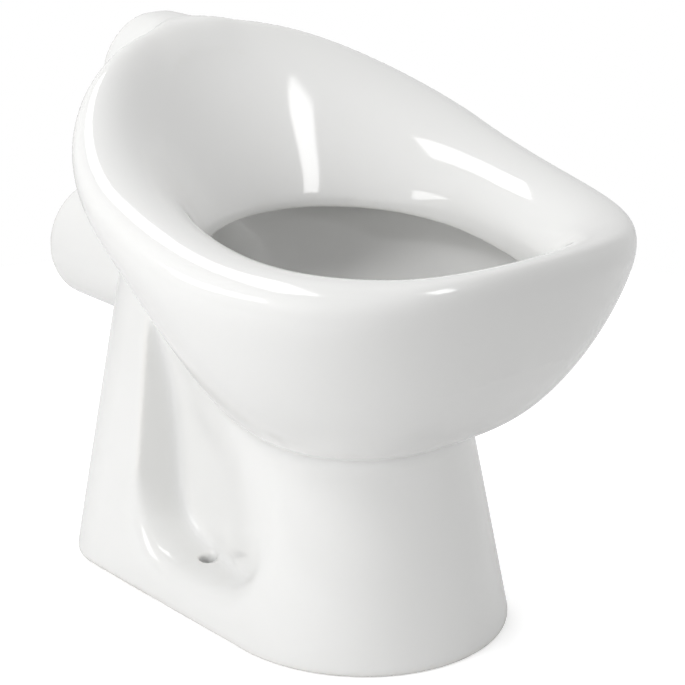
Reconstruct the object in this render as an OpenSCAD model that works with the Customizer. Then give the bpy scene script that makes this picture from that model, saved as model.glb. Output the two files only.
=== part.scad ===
// Floor-standing washdown pan for small children, white glazed china.
// The saddle-shaped rim is hollow and is sat on directly. Millimetres, +Z up, front towards -Y.
// The origin is on the floor, midway between the two floor-fixing holes.
// Inside the modules, y is measured from the foot's middle, the centre of its round front.

/* [Rim] */
// Overall width of the rim
rim_w = 379; // [350:1:400]
// From the foot's middle forward to the nose of the rim
nose_reach = 190; // [175:1:205]
// From the foot's middle back to the rear of the rim
rear_reach = 208; // [200:1:214]
// Height of the front crest before its edge is rounded
front_h = 321; // [300:1:340]
// How much higher the back crest is than the front
back_rise = 118; // [100:1:130]
// How late along the sides the crest rises to the back
rise_power = 2.5; // [2.2:0.1:2.8]
// Extra lift of the crest at the nose
nose_lift = 23; // [10:1:30]
// Breadth of the rim at each side, at its lower edge
rim_side = 79; // [70:1:86]
// Breadth of the rim at the nose, at its lower edge
rim_front = 41; // [36:1:46]
// Breadth of the rim at the back, at its lower edge
rim_back = 97; // [88:1:104]
// How much the opening widens at each side, up to the crest
flare_side = 38; // [25:1:42]
// How much the opening lengthens at the nose, up to the crest
flare_front = 14; // [8:1:18]
// How much the opening lengthens at the back, up to the crest
flare_back = 84; // [70:1:86]
// Height from the rim's lower edge up to the front crest
rim_depth = 42.5; // [36:0.5:50]
// Rise of the lower edge for each millimetre towards the back
edge_slope = 0.11; // [0.08:0.01:0.14]
// Rounding of the outer shoulder of the rim
shoulder_round = 55; // [40:1:60]
// Rounding of the inner edge of the rim
lip_round = 34; // [24:1:38]
// China thickness of the hollow rim
rim_wall = 8; // [6:0.5:9]

/* [Flushing] */
// Thickness of the ring that closes the rim from below
floor_t = 7; // [5:0.5:9]
// Diameter of each flush hole
flush_hole_d = 6; // [4:0.5:7]
// Number of flush holes round the rim
flush_holes = 24; // [16:2:32]
// China round each flush hole
hole_land = 1.5; // [1:0.5:2]
// Bore for the flush pipe
inlet_bore = 55; // [50:1:60]
// Outer diameter of the inlet boss
inlet_d = 104; // [98:1:108]
// Height of the inlet's axis
inlet_h = 377; // [372:1:382]
// From the rear of the rim back to the end of the inlet boss
boss_len = 41; // [34:1:52]
// Rounding of the boss's end
inlet_round = 10; // [4:1:16]

/* [Bowl] */
// China thickness of the bowl
bowl_wall = 10; // [8:0.5:12]
// How far the widest part lies below the crest
belly_drop = 14; // [8:1:20]
// How fast the bowl draws in below its widest part, at mid-length
taper = 0.32; // [0.28:0.01:0.36]
// How much faster it draws in at the back than at mid-length
taper_back = 0.385; // [0.34:0.01:0.42]
// How far each section slides back for each millimetre down
slide_back = 0.385; // [0.34:0.01:0.42]
// Width of the round well at the bottom of the bowl
well_w = 150; // [140:1:156]
// Length of the well
well_len = 152; // [146:1:154]
// From the foot's middle back to the middle of the well
well_y = 70; // [66:1:74]
// Height of the well's lowest point
well_bottom_h = 104; // [100:1:108]
// Height of the well above its lowest point, up to its widest part
well_depth = 56; // [50:1:60]

/* [Trap] */
// Bore of the trap
trap_bore = 50; // [46:1:52]
// China thickness of the trap
trap_wall = 7; // [6:0.5:8]
// From the foot's middle back to the rising leg
rise_y = 188; // [186:1:189]
// Height of the U-bend's centre
bend_h = 104; // [100:1:108]
// Height of the seam between the U-bend and the rising leg
seam_h = 150; // [130:1:170]
// Bend radius over the weir
weir_r = 34; // [33:1:35]

/* [Outlet] */
// Outer diameter of the outlet spigot
outlet_d = 102; // [98:1:106]
// China thickness of the outlet spigot
outlet_wall = 9; // [8:0.5:10]
// Height of the outlet's axis
outlet_h = 222.5; // [216:0.5:228]
// From the foot's middle back to the end of the outlet
outlet_reach = 339; // [320:1:360]
// How far the spigot reaches in past the weir's end
outlet_inset = 6; // [4:1:8]
// Thickness of the web between the weir and the spigot
outlet_web = 8; // [6:1:10]
// Rounding of the spigot's end
outlet_round = 4; // [2:1:4]
// Outer diameter of the spigot's thick root in the column
root_d = 108; // [105:1:114]
// How far the root stands out behind the column, below the spigot
root_proud = 2; // [1:0.5:8]

/* [Pedestal] */
// Width of the foot at the front
foot_front_w = 229; // [215:1:240]
// Width of the foot at the back
foot_rear_w = 232; // [220:1:245]
// From the foot's middle forward to the toe
toe_reach = 120; // [110:1:130]
// From the foot's middle back to the heel
heel_reach = 259.5; // [256:0.5:266]
// Draw-in of the front and its sides for each millimetre up
front_draft = 0.2; // [0.18:0.01:0.22]
// Draw-in of the rear column's sides for each millimetre up
side_draft = 0.115; // [0.105:0.005:0.125]
// Draw-in of the rear column's back for each millimetre up
heel_draft = 0.148; // [0.14:0.002:0.152]
// Corner radius of the rear column
heel_round = 66; // [56:1:70]
// Height of the rear column's top
column_h = 330; // [326:1:334]
// China thickness of the pedestal
foot_wall = 10; // [8:0.5:11]

/* [Niches] */
// From the foot's middle forward to the front edge of each niche
niche_front = 5; // [0:1:10]
// From the foot's middle back to the rear edge of each niche
niche_rear = 139; // [135:1:141]
// Height of the niche's floor
niche_floor_h = 33; // [30:1:36]
// Height at which the round bottom of the niche meets its upright edges
niche_round_h = 97; // [90:1:104]
// Half the distance between the back walls of the two niches
niche_wall_x = 65; // [62:1:68]
// Height at which the front edge of the niche begins to lean back
niche_lean_h = 110; // [104:1:116]

/* [Floor fixings] */
// Distance between the two fixing holes
fix_spacing = 160; // [154:1:166]
// From the foot's middle back to the fixing holes
fix_y = 83; // [78:1:88]
// Diameter of the fixing holes
fix_d = 13; // [11:0.5:14]
// Diameter of the thick pad round each fixing hole
lug_d = 30; // [26:1:32]
// Height of the pads, from the floor up to the niche floor's underside
lug_h = 20; // [17:1:22]

/* [Hidden] */

white = [0.93, 0.93, 0.92];
eps = 0.01;
// How far a cutter runs past the face that it cuts
spare = 10;
// Facets of the exact rounds
round_fn = 96;
fixing_fn = 48;
hole_fn = 24;
// Steps round the plan, and rays down the bowl with the angle that they cover
plan_steps = 60;
bowl_rays = 13;
bowl_sweep = 82;
// Level rows up each side of the rim's outside and hollow, and steps of the fan over the top
rim_rows = 5;
rim_fan = 10;
hollow_rows = 4;
hollow_fan = 6;
// The middle of the plan, from which the sections fan out
fan_y = 20;

// Plan of the bowl at its widest: a blunt egg, before the shoulder rounding draws it in
egg_y = 54;
draw_in_side = 13.5;
draw_in_front = 4;
draw_in_back = 24;
egg_half_w = rim_w / 2 + draw_in_side;
egg_front = nose_reach + egg_y + draw_in_front;
egg_back = rear_reach - egg_y + draw_in_back;
egg_blunt_front = 2.57;
egg_blunt_back = 1.86;
// The crest is level along the front and climbs over this length
climb_start = -150;
climb_len = 385;
climb_land = 8;
climb_stop = 1.3;
climb = back_rise / pow((rear_reach - climb_land - climb_start) / climb_len, rise_power);
nose_start = -140;
nose_len = 75;
nose_power = 2.2;
nose_stop = 1.4;
// The belly is blended into the crest over this height
belly_soft = 26;
// The widest part lies lower towards the back, where the taper and the shoulder change too
tilt_len = 200;
tilt_stop = 1.2;
belly_tilt = 11.6;
shoulder_tilt = 20;
taper_unit = 150;
taper_curve = 0.035;
taper_stop = 1.9;
least_share = 0.05;
// Steepness of the top face, and its height above the crest before the edges are rounded
top_slope = 0.94;
top_lift = 1.3;
// Land between the opening and the top of the crest, and how far up it the rim's spine runs
crest_land = 8;
spine_part = 0.8;

// Plan of the opening: two half ellipses that share their width
mouth_y = 1.5;
mouth_half_w = rim_w / 2 - rim_side;
mouth_front = nose_reach + mouth_y - rim_front;
mouth_back = rear_reach - mouth_y - rim_back;
mouth_blunt = 2.2;
mouth_stop = 1.4;
flare_power = 1.35;
mouth_levels = 4;
sky_h = 100;
// Walls are looked for between these distances from the middle of the plan
probe_far = rim_w * 0.7;
probe_near = probe_far * 0.1;

// The well blends into the tapering bowl, which ends above it
well_cut_h = well_bottom_h + 46;
well_blend = 30;
taper_end = 50;

trap_r = trap_bore / 2 + trap_wall;
trap_top_h = well_bottom_h + bowl_wall;
bend_r = (rise_y - well_y) / 2;
weir_h = outlet_h - weir_r;
weir_end = rise_y + weir_r;
web_start = weir_end + 2;
outlet_start = weir_end - outlet_inset;
root_end = heel_reach - heel_draft * (outlet_h - root_d / 2) + root_proud;

niche_blunt = 2.6;
niche_lean = 39;
niche_lean_part = 0.8;
niche_lean_stop = 1.5;
niche_sweep = 0.0013;
niche_rise = 0.0014;
niche_rise_h = 100;
niche_out = 200;
niche_tip = 8;
niche_low_rows = 8;
niche_high_rows = 12;
niche_cols = 10;
pad_land = 2;
pad_r = lug_d / 2 + pad_land;
blend_len = 150;
column_round = 16;
// Steps along the pedestal's outline: round the toe, along the side and round the heel
toe_step = 9;
side_steps = 6;
heel_step = 15;
// How far one cutter reaches into the next, and the opening's cutter into the rim
overlap = 0.5;
lip_cut = 18;
foot_levels = 12;
boss_start = rear_reach - 22;
bore_start = rear_reach - 25;
inlet_reach = rear_reach + boss_len;

// General functions: limits, smooth unions and cuts, and the distance along a ray to a surface
function clamp(v, low, high) = min(max(v, low), high);
function smooth_min(a, b, k) = let (h = max(k - abs(a - b), 0) / k) min(a, b) - h * h * h * k / 6;
function smooth_max(a, b, k) = -smooth_min(-a, -b, k);
function smooth_step(t) = let (c = clamp(t, 0, 1)) c * c * (3 - 2 * c);
function reach(f, low, high, turns = 14) =
    let (mid = (low + high) / 2)
    turns == 0 ? mid : f(mid) < 0 ? reach(f, mid, high, turns - 1) : reach(f, low, mid, turns - 1);

// A blunt ellipse: how far out a point lies, as a share of the ellipse, and how fast that grows
function blunt_r(x, y, a, b, n) = pow(pow(abs(x) / a + 1e-6, n) + pow(abs(y) / b + 1e-6, n), 1 / n);
function blunt_slope(x, y, a, b, n) =
    let (u = abs(x) / a + 1e-6, v = abs(y) / b + 1e-6, r = blunt_r(x, y, a, b, n))
    norm([pow(u, n - 1) / a, pow(v, n - 1) / b]) / pow(r, n - 1);

// Height of the crest line and of the rim's lower edge
function crown(y) = front_h + climb * pow(clamp((y - climb_start) / climb_len, 0, climb_stop), rise_power);
function crest(y) =
    crown(y) + nose_lift * pow(clamp((nose_start - y) / nose_len, 0, nose_stop), nose_power);
function edge_h(y) = front_h - rim_depth + edge_slope * y;

// Outer skin of the bowl and rim, negative inside
function skin(x, y, z) =
    let (t = clamp(y / tilt_len, -tilt_stop, tilt_stop),
         w = crown(y) - belly_drop + belly_tilt * t - z, q = norm([w, belly_soft]),
         d = (w + q) / 2, dd = (1 + w / q) / 2, s = min(d / taper_unit, taper_stop),
         k = taper + taper_back * t,
         g = max(1 - k * s - taper_curve * s * s, least_share),
         yy = y - slide_back * d - egg_y,
         b = yy < 0 ? egg_front : egg_back, n = yy < 0 ? egg_blunt_front : egg_blunt_back,
         gr = blunt_slope(x, yy, egg_half_w, b, n), gz = (k + 2 * taper_curve * s) / taper_unit * dd,
         side = (blunt_r(x, yy, egg_half_w, b, n) - g) / norm([gr, gz]),
         top = (z - crest(y)) * top_slope + top_lift)
    smooth_max(side, top, shoulder_round + shoulder_tilt * t);

// The opening through the rim, negative inside
function mouth(x, y, z) =
    let (h = clamp((z - edge_h(y)) / (crest(y) - edge_h(y)), 0, mouth_stop), yy = y - mouth_y,
         a = mouth_half_w + flare_side * h * h,
         b = yy < 0 ? mouth_front + flare_front * h * h : mouth_back + flare_back * pow(h, flare_power),
         n = yy < 0 ? mouth_blunt : 2)
    (blunt_r(x, yy, a, b, n) - 1) / blunt_slope(x, yy, a, b, n);

// The rim is the skin without the opening; its hollow lies one wall inside both
function rim_skin(x, y, z) = smooth_max(skin(x, y, z), -mouth(x, y, z), lip_round);
function rim_hollow(x, y, z) = max(skin(x, y, z), -mouth(x, y, z)) + rim_wall;

// Outer skin of the bowl with its well, negative inside
function well(x, y, z) =
    let (up = z - well_bottom_h - well_depth,
         p = [x / (well_w / 2), (y - well_y) / (well_len / 2), up / well_depth],
         r = norm(p) + 1e-9)
    (r - 1) * r / (norm([p.x / (well_w / 2), p.y / (well_len / 2), p.z / well_depth]) + 1e-9);
function bowl_skin(x, y, z) =
    smooth_min(smooth_max(skin(x, y, z), well_cut_h - z, taper_end), well(x, y, z), well_blend);

// Radius of the bowl's skin, set in by a wall, and of the opening, at a turn and a depth below the edge
function fan_point(turn, r, up) =
    let (y = fan_y + r * sin(turn)) [r * cos(turn), y, edge_h(y) + up];
function skin_r(turn, up, inset) =
    reach(function(r) let (p = fan_point(turn, r, up)) skin(p.x, p.y, p.z) + inset, probe_near, probe_far);
function mouth_r(turn) =
    reach(function(r) let (p = fan_point(turn, r, 0)) mouth(p.x, p.y, p.z), probe_near, probe_far);

// Section of the rim at a turn, from its foot on the outside over the top to its foot on the inside.
// A straight spine leans from the middle of the open underside towards the crest. Level rays run from
// the spine to both walls, and above them a fan of rays closes the top.
function section_at(turn, mid, lean, out, up) = fan_point(turn, mid + lean * up + out, up);
function crest_r(turn) =
    reach(function(r) let (p = fan_point(turn, r, 0)) mouth(p.x, p.y, crest(p.y)), probe_near, probe_far);
function rim_arc(turn, rows, rays, f) =
    let (mid = (mouth_r(turn) + skin_r(turn, 0, 0)) / 2, tip_r = crest_r(turn) + crest_land,
         tip = fan_point(turn, tip_r, 0), lean = (tip_r - mid) / (crest(tip.y) - tip.z),
         at = function(out, up) section_at(turn, mid, lean, out, up),
         val = function(out, up) let (p = at(out, up)) f(p.x, p.y, p.z),
         high = reach(function(up) val(0, up), 0, probe_far) * spine_part,
         row = function(k, side)
             let (up = high * k / rows, out = reach(function(t) val(side * t, up), 0, probe_far / 2))
             at(side * out, up),
         fan = function(a)
             let (t = reach(function(t) val(t * cos(a), high + t * sin(a)), 0, probe_far / 2))
             at(t * cos(a), high + t * sin(a)))
    concat(
        [for (k = [0:rows]) row(k, 1)],
        [for (k = [1:rays - 1]) fan(180 * k / rays)],
        [for (k = [rows:-1:0]) row(k, -1)]);
function rim_outer(turn) = rim_arc(turn, rim_rows, rim_fan, function(x, y, z) rim_skin(x, y, z));
function rim_inner(turn) = rim_arc(turn, hollow_rows, hollow_fan, function(x, y, z) rim_hollow(x, y, z));

// Rings of the bowl, from its lowest point up to the seam under the rim
function bowl_point(turn, dip, inset) =
    let (at = function(t) fan_point(turn, t * cos(dip), -t * sin(dip)),
         t = reach(function(t) let (p = at(t)) bowl_skin(p.x, p.y, p.z) + inset, 0, probe_far))
    at(t);
function bowl_ring(dip, inset) = [for (i = [0:plan_steps - 1]) bowl_point(360 * i / plan_steps, dip, inset)];
function bowl_rings(inset) = concat(
    [for (k = [1:bowl_rays]) bowl_ring(90 - bowl_sweep * k / (bowl_rays + 1), inset)],
    [ring_at(-floor_t, inset), ring_at(0, inset)]);
function ring_at(up, inset) = [for (i = [0:plan_steps - 1])
    let (turn = 360 * i / plan_steps) fan_point(turn, skin_r(turn, up, inset), up)];
function mouth_ring(up, grow) = [for (i = [0:plan_steps - 1])
    let (turn = 360 * i / plan_steps) fan_point(turn, mouth_r(turn) + grow, up)];
// Ring of the opening at a share of the way from the rim's lower edge to its crest
function mouth_level(share, grow) = [for (i = [0:plan_steps - 1])
    let (turn = 360 * i / plan_steps,
         rise = function(r) let (p = fan_point(turn, r, 0)) share * (crest(p.y) - p.z),
         gap = function(r) let (p = fan_point(turn, r, rise(r))) mouth(p.x, p.y, p.z),
         r = reach(gap, probe_near, probe_far))
    fan_point(turn, r + grow, rise(r))];

// Outline of the pedestal at a height, set in by a wall
function foot_half_w(y, z, inset) =
    let (front = foot_front_w / 2 - front_draft * z, rear = foot_rear_w / 2 - side_draft * z)
    front + (rear - front) * smooth_step(y / blend_len) - inset;
function foot_side(z, inset) =
    let (heel = heel_reach - heel_draft * z - inset, r = heel_round - inset, turn_y = heel - r,
         toe = toe_reach - front_draft * z - inset)
    concat(
        [for (a = [-90:toe_step:-1]) [foot_half_w(0, z, inset) * cos(a), toe * sin(a)]],
        [for (i = [0:side_steps - 1]) let (y = turn_y * i / side_steps) [foot_half_w(y, z, inset), y]],
        [for (a = [0:heel_step:90])
            [foot_half_w(turn_y, z, inset) - r + r * cos(a), turn_y + r * sin(a)]]);
function foot_ring(z, inset) =
    let (half = foot_side(z, inset), n = len(half))
    [for (p = concat(half, [for (i = [1:n - 1]) [-half[n - i].x, half[n - i].y]])) [p.x, p.y, z]];

// Height at which the bowl comes out through the pedestal's side
function side_meet_h(y) = reach(function(z) -skin(foot_half_w(y, z, 0), y, z), niche_lean_h, front_h);

// Cutter of one niche, grown by a wall for the hollow behind it.
// Its front edge leans back to meet the bowl.
niche_mid = (niche_rear - niche_front) / 2;
niche_lean_len = niche_lean_part * (side_meet_h(niche_mid) - niche_lean_h);
niche_top_h = edge_h(niche_rear);
function niche_span(z, grow) =
    let (mid = niche_mid, half = (niche_rear + niche_front) / 2 + grow,
         drop = (niche_round_h - z) / (niche_round_h - niche_floor_h + grow),
         lean = clamp((z - niche_lean_h) / niche_lean_len, 0, niche_lean_stop))
    z < niche_round_h ? let (w = half * pow(1 - pow(drop, niche_blunt), 1 / niche_blunt)) [mid - w, mid + w]
                      : [mid - half + niche_lean * lean * lean, mid + half];
function niche_depth_x(y, z) =
    niche_wall_x + niche_sweep * pow(max(niche_rear - y, 0), 2)
    + niche_rise * pow(max(z - niche_rise_h, 0), 2);
function niche_level(z, grow) =
    let (span = niche_span(z, grow), step = (span[1] - span[0]) / niche_cols)
    concat(
        [[niche_out, span[0], z], [niche_out, span[1], z]],
        [for (i = [0:niche_cols]) let (y = span[1] - step * i)
            [niche_depth_x(y - grow, z) - grow, y, z]]);
function niche_levels(grow) =
    let (deep = niche_round_h - niche_floor_h + grow)
    concat(
        [for (i = [0:niche_low_rows]) let (a = niche_tip + (90 - niche_tip) * i / niche_low_rows)
            niche_level(niche_round_h - deep * cos(a), grow)],
        [for (i = [1:niche_high_rows])
            niche_level(niche_round_h + (niche_top_h - niche_round_h) * i / niche_high_rows, grow)]);

// Centre of a ring of points
function centre(ring) = [for (k = [0:2]) let (c = [for (p = ring) p[k]]) c * [for (p = ring) 1] / len(ring)];

// A solid through stacked rings, from the lowest ring's centre to the last ring's centre
module stack(rings, first, last) {
    n = len(rings[0]);
    m = len(rings);
    sides = [for (i = [0:m - 2]) for (j = [0:n - 1]) let (a = i * n + j, b = i * n + (j + 1) % n)
        each rings[i][j].x > 0 ? [[a, a + n, b + n], [a, b + n, b]] : [[a, a + n, b], [b, a + n, b + n]]];
    bottom = [for (j = [0:n - 1]) [j, (j + 1) % n, m * n]];
    top = [for (j = [0:n - 1]) [(m - 1) * n + (j + 1) % n, (m - 1) * n + j, m * n + 1]];
    polyhedron(concat([for (r = rings) each r], [first, last]), concat(sides, bottom, top), convexity = 8);
}

// A closed ring of sections, each a loop of points that runs from the outside over the top
module hoop(loops) {
    n = len(loops[0]);
    m = len(loops);
    faces = [for (i = [0:m - 1]) for (j = [0:n - 1])
        let (k = (i + 1) % m, a = i * n + j, b = i * n + (j + 1) % n, c = k * n + j, d = k * n + (j + 1) % n)
        each loops[i][j].x > 0 ? [[a, b, d], [a, d, c]] : [[a, b, c], [b, d, c]]];
    polyhedron([for (l = loops) each l], faces, convexity = 8);
}

// Every piece is placed from the fixing holes
module placed() {
    color(white) translate([0, -fix_y, 0]) children();
}

// A cylinder along +Y from one distance to another
module along_y(r, from, to, height) {
    translate([0, from, height]) rotate([-90, 0, 0]) cylinder(r = r, h = to - from, $fn = round_fn);
}

// The rim without its hollow, for cutting what meets it
module rim_block() {
    hoop([for (i = [0:plan_steps - 1]) rim_outer(360 * i / plan_steps)]);
}

// The bowl without its hollow, for cutting what meets it
module bowl_block() {
    rings = concat(bowl_rings(0), [ring_at(overlap, 0)]);
    stack(rings, bowl_point(0, 90, 0), centre(rings[len(rings) - 1]));
}

// The open space inside the rim and above it
module mouth_block() {
    rings = concat([mouth_ring(-overlap, lip_cut)],
        [for (k = [1:mouth_levels]) mouth_level(k / mouth_levels, lip_cut)]);
    sky = [for (p = rings[mouth_levels]) p + [0, 0, sky_h]];
    stack(concat(rings, [sky]), centre(rings[0]), centre(sky));
}

module rim() {
    placed() difference() {
        hoop([for (i = [0:plan_steps - 1]) let (turn = 360 * i / plan_steps, inner = rim_inner(turn))
            concat(rim_outer(turn), [for (k = [len(inner) - 1:-1:0]) inner[k]])]);
        along_y(inlet_bore / 2, bore_start, inlet_reach, inlet_h);
    }
}

module channel_floor() {
    rings = [ring_at(0, bowl_wall), mouth_ring(0, 0), mouth_ring(-floor_t, 0), ring_at(-floor_t, bowl_wall)];
    placed() difference() {
        hoop([for (i = [0:plan_steps - 1]) [for (k = [0:3]) rings[k][i]]]);
        for (i = [0:flush_holes - 1])
            let (turn = 360 * (i + 0.5) / flush_holes,
                 p = fan_point(turn, mouth_r(turn) + rim_wall + hole_land + flush_hole_d / 2, 0))
            translate([p.x, p.y, p.z - floor_t * 2])
                cylinder(d = flush_hole_d, h = floor_t * 3, $fn = hole_fn);
    }
}

module flush_inlet() {
    r = inlet_d / 2;
    end = [for (a = [0:15:90]) [r - inlet_round + inlet_round * cos(a),
                                inlet_reach - inlet_round + inlet_round * sin(a)]];
    placed() difference() {
        resize([0, 0, 0]) difference() {
            translate([0, 0, inlet_h]) rotate([-90, 0, 0]) rotate_extrude($fn = round_fn)
                polygon(concat([[0, boss_start], [r, boss_start]], end, [[0, inlet_reach]]));
            rim_block();
            mouth_block();
        }
        along_y(inlet_bore / 2, bore_start, inlet_reach + spare, inlet_h);
    }
}

module bowl() {
    outer = bowl_rings(0);
    inner = bowl_rings(bowl_wall);
    n = len(inner);
    placed() difference() {
        stack(concat(outer, [for (i = [1:n]) inner[n - i]]),
            bowl_point(0, 90, 0), bowl_point(0, 90, bowl_wall));
        translate([0, well_y, well_bottom_h - spare])
            cylinder(r = trap_r, h = bowl_wall + spare * 2, $fn = round_fn);
    }
}

module trap_bend() {
    placed() {
        trap_tube(well_y, bend_h, trap_top_h);
        trap_tube(rise_y, bend_h, seam_h);
        translate([0, well_y + bend_r, bend_h]) rotate([0, 90, 0]) rotate([0, 0, -90])
            rotate_extrude(angle = 180, $fn = round_fn) translate([bend_r, 0]) trap_ring();
    }
}

module trap_weir() {
    placed() {
        trap_tube(rise_y, seam_h, weir_h);
        translate([0, rise_y + weir_r, weir_h]) rotate([0, -90, 0]) rotate([0, 0, 90])
            rotate_extrude(angle = 90, $fn = round_fn) translate([-weir_r, 0]) trap_ring();
        difference() {
            along_y(trap_r, weir_end, web_start + outlet_web, outlet_h);
            along_y(trap_bore / 2, weir_end - spare, web_start + outlet_web + spare, outlet_h);
        }
    }
}

// Section of the trap's wall
module trap_ring() {
    difference() {
        circle(r = trap_r, $fn = round_fn);
        circle(d = trap_bore, $fn = round_fn);
    }
}

// An upright length of the trap
module trap_tube(y, from, to) {
    translate([0, y, from]) linear_extrude(to - from) trap_ring();
}

module outlet_spigot() {
    r = outlet_d / 2;
    root_r = root_d / 2;
    bore = r - outlet_wall;
    end = [for (a = [0:15:90]) [r - outlet_round + outlet_round * cos(a),
                                outlet_reach - outlet_round + outlet_round * sin(a)]];
    placed() translate([0, 0, outlet_h]) rotate([-90, 0, 0]) rotate_extrude($fn = round_fn)
        polygon(concat(
            [[bore, outlet_start], [root_r, outlet_start]],
            [[root_r, root_end - root_r + r], [r, root_end]],
            end,
            [[bore, outlet_reach], [bore, web_start + outlet_web], [trap_r, web_start + outlet_web],
             [trap_r, web_start], [bore, web_start]]));
}

// The pedestal's outline, from the floor up to the rear column's rounded top, without its niches
module foot_block(inset) {
    top = column_h - inset;
    rings = concat(
        [for (k = [0:foot_levels]) foot_ring((top - column_round) * k / foot_levels, inset)],
        [for (a = [30:30:90])
            foot_ring(top - column_round * (1 - sin(a)), inset + column_round * (1 - cos(a)))]);
    stack(rings, centre(rings[0]), centre(rings[len(rings) - 1]));
}

// Both niches, or the space that the hollow leaves round them
module niches(grow) {
    levels = niche_levels(grow);
    for (side = [0, 1]) mirror([side, 0, 0])
        stack(levels, centre(levels[0]), centre(levels[len(levels) - 1]));
}

module pedestal() {
    placed() difference() {
        resize([0, 0, 0]) difference() {
            foot_block(0);
            niches(0);
            difference() {
                translate([0, 0, -eps]) foot_block(foot_wall);
                niches(foot_wall);
                at_fixings() cylinder(r = pad_r, h = niche_floor_h + foot_wall, $fn = fixing_fn);
            }
            translate([0, 0, -eps]) at_fixings() cylinder(r = pad_r, h = lug_h, $fn = fixing_fn);
            bowl_block();
            rim_block();
            mouth_block();
        }
        at_fixings() translate([0, 0, -spare]) cylinder(d = fix_d, h = niche_round_h, $fn = fixing_fn);
        along_y(root_d / 2, rise_y, heel_reach + spare, outlet_h);
        along_y(inlet_d / 2, boss_start, inlet_reach, inlet_h);
    }
}

module fixing_lugs() {
    placed() at_fixings() difference() {
        cylinder(d = lug_d, h = lug_h, $fn = round_fn);
        translate([0, 0, -spare]) cylinder(d = fix_d, h = lug_h + spare * 2, $fn = fixing_fn);
    }
}

// At each of the two floor-fixing holes
module at_fixings() {
    for (side = [-1, 1]) translate([side * fix_spacing / 2, fix_y, 0]) children();
}

rim();
channel_floor();
flush_inlet();
bowl();
trap_bend();
trap_weir();
outlet_spigot();
pedestal();
fixing_lugs();
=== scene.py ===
import math
from types import SimpleNamespace

import bmesh
import bpy
import numpy as np
from bpy.props import FloatProperty, FloatVectorProperty, IntProperty, PointerProperty
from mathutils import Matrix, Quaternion, Vector


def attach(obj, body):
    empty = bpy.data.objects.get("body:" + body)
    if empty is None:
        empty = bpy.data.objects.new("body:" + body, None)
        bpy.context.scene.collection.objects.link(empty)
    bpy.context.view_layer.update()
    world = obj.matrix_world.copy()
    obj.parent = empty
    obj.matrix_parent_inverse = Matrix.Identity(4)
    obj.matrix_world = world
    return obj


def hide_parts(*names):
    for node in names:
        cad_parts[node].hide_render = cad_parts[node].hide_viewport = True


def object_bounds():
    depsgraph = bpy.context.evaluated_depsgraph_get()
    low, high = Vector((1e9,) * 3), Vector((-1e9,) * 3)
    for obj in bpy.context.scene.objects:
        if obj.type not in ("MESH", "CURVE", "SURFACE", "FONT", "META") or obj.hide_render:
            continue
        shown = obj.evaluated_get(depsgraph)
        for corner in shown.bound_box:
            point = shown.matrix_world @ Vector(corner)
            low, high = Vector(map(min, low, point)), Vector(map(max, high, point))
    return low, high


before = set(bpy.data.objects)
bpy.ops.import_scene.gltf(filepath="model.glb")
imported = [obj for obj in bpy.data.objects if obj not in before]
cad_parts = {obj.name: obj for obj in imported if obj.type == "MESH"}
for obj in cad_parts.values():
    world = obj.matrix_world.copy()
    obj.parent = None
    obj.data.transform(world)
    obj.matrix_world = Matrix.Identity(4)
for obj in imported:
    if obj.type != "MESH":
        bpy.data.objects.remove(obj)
cad_low, cad_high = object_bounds()

bl_info = {
    "name": "Child Toilet",
    "version": (1, 0, 0),
    "blender": (4, 5, 0),
    "location": "View3D > Sidebar > Child Toilet",
    "description": "A small floor-standing china toilet with a saddle-shaped rim",
    "category": "Add Mesh",
}

MM = 0.001
# Kept away from zero in divisions
TINY = 1e-9
SMALL = 1e-6
LEAST_SLOPE = 0.05
# The point that the lamps face
MIDDLE = (0, -0.02, 0.22)
# The net starts this many steps outside the solids, and never level with the floor
NET_MARGIN = 2.0
NET_DROP = 2.3
# Steps in millimetres over which slopes are taken, fine where a point is placed for good
FINE_STEP = 0.1
SNAP_STEP = 0.2
SHADE_STEP = 0.3
WIDE_STEP = 0.4
# How far each point moves towards the middle of its neighbours
RELAX_SHARE = 0.5
# Turns across a face above which it is split, in the first and in the second pass
SPLIT_TURNS = (math.radians(24), math.radians(28))
# How the glaze's depth is read from the bend of the surface, taken over this reach
BEND_REACH = 1.5
EDGE_BEND, EDGE_RANGE = 0.06, 0.5
HOLLOW_BEND, HOLLOW_RANGE = 0.03, 0.25
# Unglazed places: the base below this height and this far inside the pedestal's outline, and what
# lies this near to the hollow's skin
BASE_HEIGHT = 1.0
BASE_INSET = 3.0
UNDER_REACH = 1.2
# Sizes of the glaze's patterns, as repeats in a metre
CLOUD_SCALE = 9.0
SPECK_SCALE = 900.0
RIPPLE_SCALE = 34.0
PEEL_SCALE = 420.0
CLOUD_DETAIL = 3.0
# How much of the thin and of the pooled colour shows, and how far the white and the bare colour vary
THIN_LEAST = 0.45
POOLED_SHARE = 0.8
CLOUDED_WHITE = 0.985
SPECKED_BARE = 0.93
# Roughness added where the glaze is cloudy, thin or missing
CLOUD_ROUGH, THIN_ROUGH, BARE_ROUGH = 0.03, 0.05, 0.55
# Shares of the ripples, the peel and the bare grain in the relief, and the relief's depth
RIPPLE_SHARE, PEEL_SHARE, GRAIN_SHARE = 0.7, 0.035, 0.5
RELIEF_STRENGTH = 0.12
RELIEF_DEPTH = 0.0004
GLAZE_IOR = 1.7
# The flush ring's sides, how far it stands into its groove, and the flare of its holes
RING_SIDES = 120
RING_SEAT = 0.3
RING_BITE = 0.5
HOLE_SIDES = 24
HOLE_FLARE = 0.8
# Points of the ring nearer than this are joined, in metres
WELD = 0.00001
# The floor's sides and its glow to the camera, and the level of the even light in the glaze
FLOOR_SIDES = 96
FLOOR_GLOW = 0.45
GLAZE_LIGHT = 0.67
FLOOR_SCALE = 1.5
FLOOR_TONES = ((0.80, 0.80, 0.80), (0.82, 0.82, 0.82))
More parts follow.
